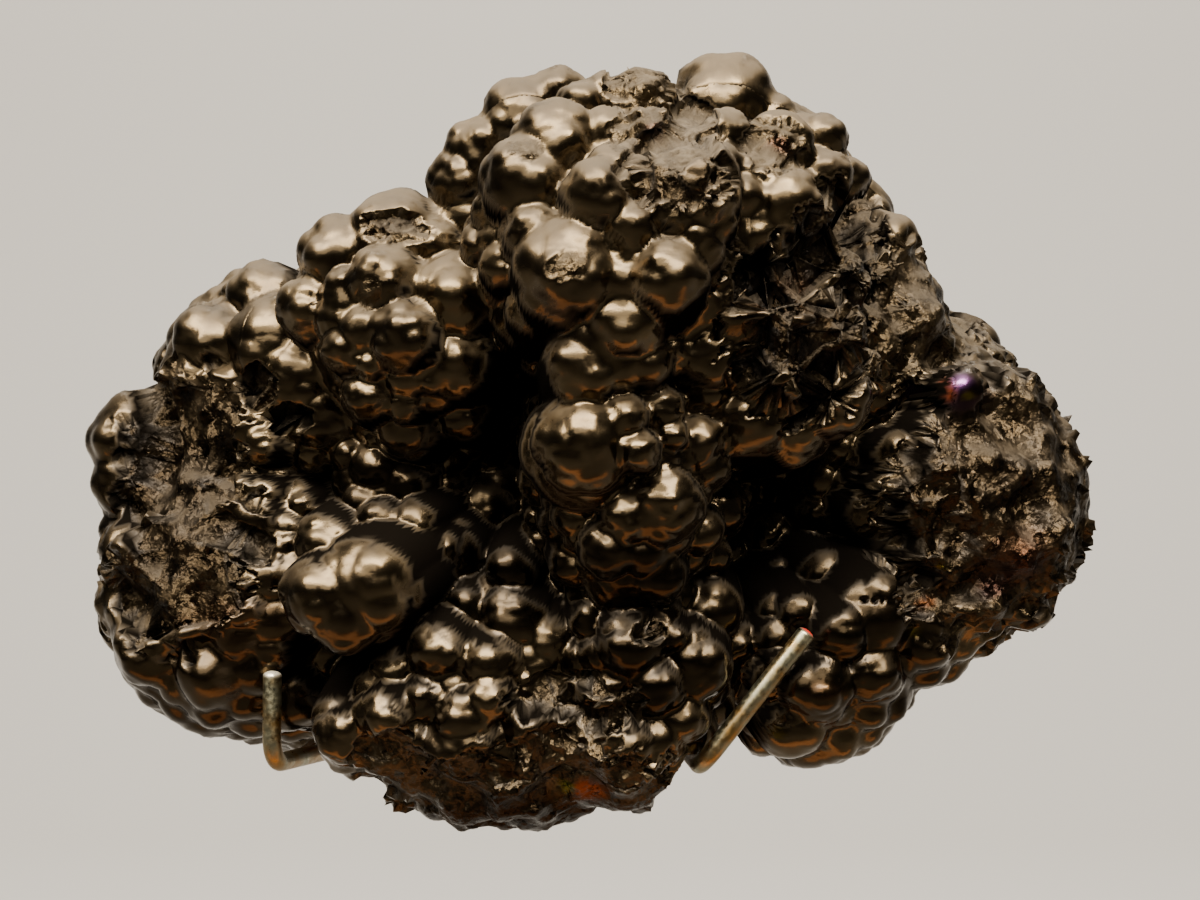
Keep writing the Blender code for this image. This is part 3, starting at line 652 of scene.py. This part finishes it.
def stone_surface(cube, sink, finest):
    """Push points of the cube out to the stone's surface, less sink.

    Relief goes inward along the surface's normal, has no crumbs smaller than finest, and fades out
    on steep sides. Also how coarsely the crust is broken at each point, 0 where it is whole, and the
    lines.
    """
    seeds = np.random.default_rng(SEED)
    lines = np.tan(cube * math.pi / 4)
    lines /= np.linalg.norm(lines, axis=1)[:, None]
    lines[:, 1] -= FRONT_PULL
    lines /= np.linalg.norm(lines, axis=1)[:, None]
    starts = HEART + DISC * lines
    lobes = lobe_bodies()
    bubbles = bubble_bodies(lobes)
    fills = fill_bodies(lobes, HIDDEN_FILL, HIDDEN_FROM, 1, seeds)
    fills += fill_bodies(lobes, FRONT_FILL, -1, HIDDEN_FROM, seeds)
    cover = cover_bodies(lobes, seeds)
    round_fills, cover = petals(fills, seeds), clear_of(cover, bubbles)
    fills, round_fills = clear_of(fills, bubbles), clear_of(round_fills, bubbles)
    cores = [(centre, half - LOBE_SINK) for centre, half in lobes.values()]
    bodies = [*cores, *bubbles, *fills, *cover, *petals(bubbles, seeds), *round_fills]
    far, outward = reach(starts, lines, bodies)
    far = np.maximum(seated(starts, lines, far) - sink, LEAST_REACH)
    points = starts + lines * far[:, None]
    deep = broken_away(points, lines, seeds)
    swell = sum(rise * grains(points, size, seeds) for size, rise in SWELLS)
    rough = sum(relief * crumbs(points, size, seeds, tilt)
                for size, relief, tilt in CRUMBS if size > finest)
    coarse = np.clip(deep / COARSE_DEPTH, COARSE_LEAST, 1) * (deep > 0)
    facing = ramp((outward * lines).sum(1), *STEEP)
    inward = np.where(deep > 0, rough * coarse * facing - deep, swell * facing)
    coarse = np.maximum(coarse, (1 - facing) * ramp(outward[:, 1], *FACES_BACK))
    return points + outward * inward[:, None], coarse, lines


def mesh_piece(name, points, faces):
    """A smooth-shaded object at the origin, from points in millimetres and a list of faces."""
    mesh = bpy.data.meshes.new(name)
    mesh.from_pydata(points * MM, [], faces)
    mesh.shade_smooth()
    piece = bpy.data.objects.new(name, mesh)
    bpy.context.collection.objects.link(piece)
    return piece


def linear(code):
    """An sRGB hex colour as the linear red, green, blue and alpha that Blender mixes."""
    parts = np.array([int(code[place:place + 2], 16) for place in (1, 3, 5)]) / 255
    return (*np.where(parts > 0.04045, ((parts + 0.055) / 1.055) ** 2.4, parts / 12.92), 1.0)


def stain_and_shade_colours(points, lines):
    """The colour of the marks and painted shade at each point, and their strength in the fourth place.
    """
    x, z = as_seen(points)
    colours = np.zeros((len(points), 4))
    for centre_x, centre_z, half_width, half_height, colour, strength in STAINS_AND_PAINTED_SHADE:
        away = np.hypot((x - centre_x) / half_width, (z - centre_z) / half_height)
        share = strength * ramp(away, *STAIN_AND_SHADE_FADE) * (lines[:, 1] < HIDDEN_FROM)
        colours[:, :3] += (np.array(linear(colour)[:3]) - colours[:, :3]) * share[:, None]
        colours[:, 3] = np.maximum(colours[:, 3], share)
    return colours


def paint(piece, name, values):
    """Store one number for each of the mesh's points under a name that its material reads."""
    layer = piece.data.attributes.new(name, "FLOAT", "POINT")
    layer.data.foreach_set("value", np.asarray(values, np.float32))


def weather(piece, points, coarse, lines):
    """Store what the stone's material reads.

    Dust lies where the surface faces up, thickest near the top. Flanks lie where the surface runs
    along the lines, as in deep creases, and the material paints them near black as shade. The
    colours of the tarnish, spots and painted shade patches are stored as well.
    """
    mesh = piece.data
    normals = np.empty(len(mesh.vertices) * 3, np.float32)
    mesh.vertex_normals.foreach_get("vector", normals)
    normals = normals.reshape(-1, 3)
    thick = DUST_LOW_SHARE + (1 - DUST_LOW_SHARE) * ramp(points[:, 2], *DUST_HEIGHTS)
    film = ramp(normals[:, 2], *DUST_FACING) * thick * np.where(coarse > 0, DUST_ON_BREAKS, 1)
    hidden = ramp(normals[:, 1], *FACES_BACK)
    stain_and_shade_layer = mesh.attributes.new("stain_and_shade", "FLOAT_COLOR", "POINT")
    stain_and_shade_layer.data.foreach_set("color", stain_and_shade_colours(points, lines).astype(np.float32).ravel())
    paint(piece, "broken", coarse)
    paint(piece, "dust", np.minimum(film, 1))
    # Painted shade: the mask of steep flanks that the material paints near black.
    paint(piece, "flank_shade", ramp((normals * lines).sum(1), *FLANK_SHADE) * (1 - hidden))


# The stone's mesh is two closed skins. The body goes all round, and lies low under the front. The
# front is finer, and its rim dips into the body.
cube, body_quads = cube_grid(BODY_CELLS)
edge_on = np.abs(cube[:, [0, 2]]).max(1)
under_front = (cube[:, 1] <= -1) * ramp(-edge_on, -1.0, -1.0 + RIM)
body_points, body_broken, body_lines = stone_surface(cube, BODY_SINK * under_front, BODY_FINEST)
body = mesh_piece("heterogenite_body", body_points, body_quads.tolist())
weather(body, body_points, body_broken, body_lines)

steps = np.linspace(-1 - RIM, 1 + RIM, FRONT_CELLS + 1)
across, up = np.meshgrid(steps, steps, indexing="ij")
front_cube = np.stack([across, np.full_like(across, -1), up], 2).reshape(-1, 3)
rim = ramp(np.maximum(abs(front_cube[:, 0]), abs(front_cube[:, 2])), 1, 1 + RIM)
front_points, front_broken, front_lines = stone_surface(front_cube, RIM_SINK * rim, 0)
index = np.arange(len(front_points)).reshape(across.shape)
front_quads = grid_quads(index)
border = np.concatenate([index[:-1, 0], index[-1, :-1], index[:0:-1, -1], index[0, :0:-1]])
fan = np.stack([np.roll(border, -1), border, np.full_like(border, len(front_points))], 1)
front_points = np.vstack([front_points, HEART])
front = mesh_piece("heterogenite_front", front_points, [*front_quads.tolist(), *fan.tolist()])
weather(front, front_points, np.append(front_broken, 0), np.vstack([front_lines, [0, -1, 0]]))


def new_material(name):
    """A material with node trees on, and its Principled shader."""
    made = bpy.data.materials.new(name)
    made.use_nodes = True
    return made, made.node_tree.nodes["Principled BSDF"]


def plug(made, node, inputs):
    """Fill a node's inputs, each by name or number, or in order.

    Another node's output is linked to the input, and a number, a place or a colour code is set on it.
    """
    for socket, value in inputs.items() if isinstance(inputs, dict) else enumerate(inputs):
        if isinstance(value, bpy.types.NodeSocket):
            made.node_tree.links.new(value, node.inputs[socket])
        else:
            node.inputs[socket].default_value = linear(value) if isinstance(value, str) else value


def add_node(made, kind, inputs=(), **settings):
    """Add a node with its settings and inputs, and give back its outputs."""
    node = made.node_tree.nodes.new("ShaderNode" + kind)
    for key, value in settings.items():
        setattr(node, key, value)
    plug(made, node, inputs)
    return node.outputs


# Heterogenite is sub-metallic: its whole crust is dark bronze with soft bright reflections, its breaks
# are matt and granular with a few glints, and dust dulls what faces up. Sizes are in millimetres.
# Steep flanks are painted near black, and some patches dark brown, as painted shade.

# Noises: their size and detail. The grit is drawn coarser than the real one, which wouldn't show.
NOISES = {"cloud": (9.09, 4), "blotch": (2.38, 5), "grit": (0.3333, 2), "crumb": (0.7692, 5)}

# What each noise steers: the span of the noise, and the span that it is stretched to
STEERED = {
    "bronze": ("cloud", 0.35, 0.65, 0, 1),
    "fracture": ("blotch", 0.4, 0.6, 0, 1),
    "dust": ("blotch", 0.3, 0.6, 0.35, 0.9),
    "polish": ("blotch", 0.3, 0.7, 0.14, 0.27),
    "wear": ("blotch", 0.3, 0.7, 0, 0.4),
}
BRONZES = ("#443a2b", "#5c4f3a")
FRACTURES = ("#17120c", "#453b2c")
DUST = "#544b3d"
HOLLOW_SHADE = "#0a0806"

# Broken crystals: the sizes of two kinds of cell, and how far each cell's facet leans its own way
CRYSTALS = ((1.613, 0.9), (0.6667, 0.8))

crust, crust_shader = new_material("heterogenite")
place = add_node(crust, "TexCoord")["Object"]
broken = add_node(crust, "Attribute", attribute_name="broken")["Fac"]
dust = add_node(crust, "Attribute", attribute_name="dust")["Fac"]
flank_shade = add_node(crust, "Attribute", attribute_name="flank_shade")["Fac"]
stain_and_shade = add_node(crust, "Attribute", attribute_name="stain_and_shade")
noise = {}
for name, (size, detail) in NOISES.items():
    pattern = {"Vector": place, "Scale": 1 / (MM * size), "Detail": detail}
    noise[name] = add_node(crust, "TexNoise", pattern)["Fac"]
share = {}
for name, (source, *span) in STEERED.items():
    share[name] = add_node(crust, "MapRange", (noise[source], *span))["Result"]

# A colour's mix has its share in input 0, its colours in inputs 6 and 7, and the result in output 2.
bronze = add_node(crust, "Mix", {0: share["bronze"], 6: BRONZES[0], 7: BRONZES[1]}, data_type="RGBA")[2]
fracture = add_node(crust, "Mix", {0: share["fracture"], 6: FRACTURES[0], 7: FRACTURES[1]},
                    data_type="RGBA")[2]
bare = add_node(crust, "Mix", {0: broken, 6: bronze, 7: fracture}, data_type="RGBA")[2]
# The marks mix in here: tarnish and spots, and painted shade in hollows and under overhangs.
with_stains_and_shade = add_node(crust, "Mix", {0: stain_and_shade["Alpha"], 6: bare, 7: stain_and_shade["Color"]}, data_type="RGBA")[2]
settled = add_node(crust, "Math", (dust, share["dust"]), operation="MULTIPLY")[0]
dusty_and_shaded = add_node(crust, "Mix", {0: settled, 6: with_stains_and_shade, 7: DUST}, data_type="RGBA")[2]
# Steep flanks are painted near black: painted shade in deep creases and hollows.
colour = add_node(crust, "Mix", {0: flank_shade, 6: dusty_and_shaded, 7: HOLLOW_SHADE}, data_type="RGBA")[2]

straight = add_node(crust, "NewGeometry")["Normal"]
for size, tilt in CRYSTALS:
    cell = add_node(crust, "TexVoronoi", {"Vector": place, "Scale": 1 / (MM * size)})["Color"]
    away = add_node(crust, "VectorMath", (cell, (0.5, 0.5, 0.5)), operation="SUBTRACT")[0]
    amount = add_node(crust, "Math", (broken, tilt), operation="MULTIPLY")[0]
    lean = add_node(crust, "VectorMath", {0: away, 3: amount}, operation="SCALE")[0]
    straight = add_node(crust, "VectorMath", (straight, lean), operation="ADD")[0]
facet = add_node(crust, "VectorMath", (straight,), operation="NORMALIZE")[0]
fine = add_node(crust, "Bump", {"Height": noise["grit"], "Normal": facet, "Distance": 0.04 * MM,
                                "Strength": 0.35})["Normal"]
granular = add_node(crust, "Bump", {"Height": noise["crumb"], "Normal": fine, "Distance": 0.5 * MM,
                                    "Strength": broken})["Normal"]

torn = add_node(crust, "Math", (broken, share["wear"]), operation="MULTIPLY")[0]
worn = add_node(crust, "Math", (share["polish"], torn), operation="ADD")[0]
dulled = add_node(crust, "Math", (worn, settled), operation="ADD", use_clamp=True)[0]
# Flanks also lose their metal and gloss and turn fully rough, so that the painted shade stays black.
roughness = add_node(crust, "Math", (dulled, flank_shade), operation="MAXIMUM")[0]
covered = add_node(crust, "Math", (settled, flank_shade), operation="ADD")[0]
metal = add_node(crust, "Math", (1.0, covered), operation="SUBTRACT", use_clamp=True)[0]
gloss = add_node(crust, "MapRange", (flank_shade, 0, 1, 0.5, 0))["Result"]
plug(crust, crust_shader, {"Base Color": colour, "Normal": granular, "Roughness": roughness,
                           "Metallic": metal, "Specular IOR Level": gloss})
specimen_pieces = [body, front]
for piece in (body, front):
    piece.data.materials.append(crust)
    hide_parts("stone")
    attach(piece, "root")

# The hooks: round brass rod, cut, bent by hand and left bare, with the cut tips rounded over.
# They come out of the wall, run under the stone and turn up in front of it.

# A bend starts this far from its corner, and its curve's handles reach this share of the way to it.
ROD_BEND = 3.5
BEND_HANDLE = 0.6
BEND_MOST = 0.45
BEND_STEPS = 10
ROD_SIDES = 32

# The tip's dome: its height over its radius
DOME = 0.55
DOME_STEPS = 6


def rod_axis(corners):
    """The rod's axis: straight runs, with each corner turned along a smooth cubic curve."""
    corners = np.array(corners, float)
    share = np.linspace(0, 1, BEND_STEPS)[:, None]
    points = [corners[:1]]
    for before, corner, after in zip(corners, corners[1:], corners[2:]):
        lengths = np.linalg.norm(corner - before), np.linalg.norm(after - corner)
        cut = min(ROD_BEND, BEND_MOST * lengths[0], BEND_MOST * lengths[1])
        enter = corner + (before - corner) / lengths[0] * cut
        leave = corner + (after - corner) / lengths[1] * cut
        first = enter + BEND_HANDLE * (corner - enter)
        second = leave + BEND_HANDLE * (corner - leave)
        points.append((1 - share) ** 3 * enter + 3 * share * (1 - share) ** 2 * first
                      + 3 * share ** 2 * (1 - share) * second + share ** 3 * leave)
    points.append(corners[-1:])
    return np.concatenate(points)


def rod_mesh(name, corners):
    """A round rod carried along its axis: a flat rear end on the wall, and a low dome at the tip.

    The dome's rings follow a quarter ellipse, one radius wide and DOME radii high.
    """
    axis = rod_axis(corners)
    ahead = np.diff(axis, axis=0)
    ahead /= np.linalg.norm(ahead, axis=1)[:, None]
    along = np.vstack([ahead[:1], ahead[:-1] + ahead[1:], ahead[-1:]])
    along /= np.linalg.norm(along, axis=1)[:, None]
    turn = np.linspace(0, math.pi / 2, DOME_STEPS)
    tip = axis[-1] + along[-1] * ROD_RADIUS * DOME * (np.sin(turn) - 1)[:, None]
    centres = np.vstack([axis[:1], axis[:1], axis[1:-1], tip])
    radii = np.concatenate([[0], np.full(len(axis) - 1, ROD_RADIUS), ROD_RADIUS * np.cos(turn)])
    along = np.vstack([along[:1], along[:-1], np.repeat(along[-1:], DOME_STEPS, 0)])
    side = np.array([1.0, 0, 0]) - along * along[:, :1]
    side /= np.linalg.norm(side, axis=1)[:, None]
    other = np.cross(along, side)
    spin = np.linspace(0, 2 * math.pi, ROD_SIDES, endpoint=False)[:, None]
    rings = centres[:, None] + radii[:, None, None] * (
        np.cos(spin) * side[:, None] + np.sin(spin) * other[:, None])
    points = np.vstack([rings[0, :1], rings[1:-1].reshape(-1, 3), rings[-1, :1]])
    index = 1 + np.arange(ROD_SIDES * (len(rings) - 2)).reshape(-1, ROD_SIDES)
    index = np.hstack([index, index[:, :1]])
    quads = grid_quads(index.T)
    rear = np.stack([np.zeros(ROD_SIDES, int), index[0, 1:], index[0, :-1]], 1)
    front_end = np.stack([np.full(ROD_SIDES, len(points) - 1), index[-1, :-1], index[-1, 1:]], 1)
    rod = mesh_piece(name, points, [*quads.tolist(), *rear.tolist(), *front_end.tolist()])
    paint(rod, "from_tip", np.linalg.norm(points - axis[-1], axis=1))
    return rod


# Aged brass, drawn as rod and never lacquered: golden brown where it is handled and grey-green where
# it isn't, with fine pits, and a tip of its own. Sizes are in millimetres.

BRASSES = ("#8a6f42", "#8d8a72")
PATINA_PATCH = 3.846
BRASS_PITS = 0.625

# Each hook's tip: its colour, its length and how metallic it is. The left one is worn pale, the right
# one dipped in red paint.
TIPS = {"left_hook": ("#d8d2c0", 1.3, 0.6), "right_hook": ("#9c2318", 1.0, 0.0)}


def brass_material(name, tip_colour, tip_length, metal_at_tip):
    """Aged brass for one hook: the tip's colour fades in over two fifths of the tip's length."""
    made, shader = new_material(name)
    place = add_node(made, "TexCoord")["Object"]
    from_tip = add_node(made, "Attribute", attribute_name="from_tip")["Fac"]
    patch = {"Vector": place, "Scale": 1 / (MM * PATINA_PATCH), "Detail": 5}
    pit = {"Vector": place, "Scale": 1 / (MM * BRASS_PITS), "Detail": 3}
    cloud = add_node(made, "TexNoise", patch)["Fac"]
    speck = add_node(made, "TexNoise", pit)["Fac"]
    green = add_node(made, "MapRange", (cloud, 0.42, 0.6, 0, 1))["Result"]
    at_tip = add_node(made, "MapRange", (from_tip, 0.8 * tip_length, 1.2 * tip_length, 1, 0))["Result"]
    aged = add_node(made, "Mix", {0: green, 6: BRASSES[0], 7: BRASSES[1]}, data_type="RGBA")[2]
    colour = add_node(made, "Mix", {0: at_tip, 6: aged, 7: tip_colour}, data_type="RGBA")[2]
    roughness = add_node(made, "MapRange", (speck, 0.3, 0.7, 0.25, 0.5))["Result"]
    metal = add_node(made, "MapRange", (at_tip, 0, 1, 1, metal_at_tip))["Result"]
    pitted = add_node(made, "Bump", {"Height": speck, "Distance": 0.03 * MM, "Strength": 0.4})["Normal"]
    plug(made, shader, {"Base Color": colour, "Normal": pitted, "Roughness": roughness,
                        "Metallic": metal})
    return made


for name, (tip_colour, tip_length, metal_at_tip) in TIPS.items():
    rod = rod_mesh("brass_" + name, RODS[name])
    rod.data.materials.append(brass_material("aged_brass_" + name, tip_colour, tip_length, metal_at_tip))
    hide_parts(name)
    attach(rod, "root")
    specimen_pieces.append(rod)

# The studio: pale paper that runs level and curves up into a backdrop, in metres, and soft lights.
# The lights on the specimen don't shine on the paper, which would throw them up into the undersides.

FLOOR = -0.22
PAPER_FRONT = -3.0
PAPER_TOP = 3.0
PAPER_HALF_WIDTH = 4.0
SWEEP = 1.8
SWEEP_RADIUS = 0.6
SWEEP_STEPS = 16


def sweep_profile():
    """The paper from the side, as (y, z) rows: level, a quarter circle from SWEEP on, then upright."""
    turn = np.linspace(0, math.pi / 2, SWEEP_STEPS)
    bend = np.stack([SWEEP + SWEEP_RADIUS * np.sin(turn), FLOOR + SWEEP_RADIUS * (1 - np.cos(turn))], 1)
    return np.concatenate([[[PAPER_FRONT, FLOOR]], bend, [[SWEEP + SWEEP_RADIUS, PAPER_TOP]]])


profile = sweep_profile()
sides = np.array([-PAPER_HALF_WIDTH, PAPER_HALF_WIDTH])
paper_points = np.array([(x, y, z) for y, z in profile for x in sides]) / MM
paper_quads = grid_quads(np.arange(len(paper_points)).reshape(-1, 2).T)
backdrop = mesh_piece("backdrop", paper_points, paper_quads.tolist())
paper, paper_shader = new_material("pale_paper")
plug(paper, paper_shader, {"Base Color": "#cfcac2", "Roughness": 0.9})
backdrop.data.materials.append(paper)

specimen = bpy.data.collections.new("specimen")
for piece in specimen_pieces:
    specimen.objects.link(piece)


def add_light(name, place, target, size, power, colour, only=None):
    """A rectangular soft light at a place, turned to its target, that lights only some objects."""
    lamp = bpy.data.lights.new(name, "AREA")
    lamp.shape = "RECTANGLE"
    lamp.size, lamp.size_y = size
    lamp.energy = power
    lamp.color = linear(colour)[:3]
    made = bpy.data.objects.new(name, lamp)
    made.location = place
    made.rotation_euler = (Vector(target) - Vector(place)).to_track_quat("-Z", "Y").to_euler()
    bpy.context.collection.objects.link(made)
    if only:
        made.light_linking.receiver_collection = only


# A wide light overhead, a faint one in front, and a warm strip below for the arcs low on the bubbles
MIDDLE = (0, -0.05, 0.04)
add_light("overhead", (-0.12, -0.62, 0.8), MIDDLE, (1.5, 0.5), 76, "#fff3e2", specimen)
add_light("front_fill", (-0.4, -1.2, 0.6), MIDDLE, (1.2, 0.5), 7, "#fff6ea", specimen)
add_light("under_glow", (0, -0.09, -0.2), MIDDLE, (0.5, 0.08), 0.17, "#ffa24c", specimen)
add_light("backdrop_light", (0, 0.7, 1.6), (0, 2.2, 0.3), (1.6, 0.4), 85, "#fffaf2")

world = bpy.data.worlds.new("studio")
world.use_nodes = True
plug(world, world.node_tree.nodes["Background"], {"Color": "#c8c4bc", "Strength": 0.12})
bpy.context.scene.world = world
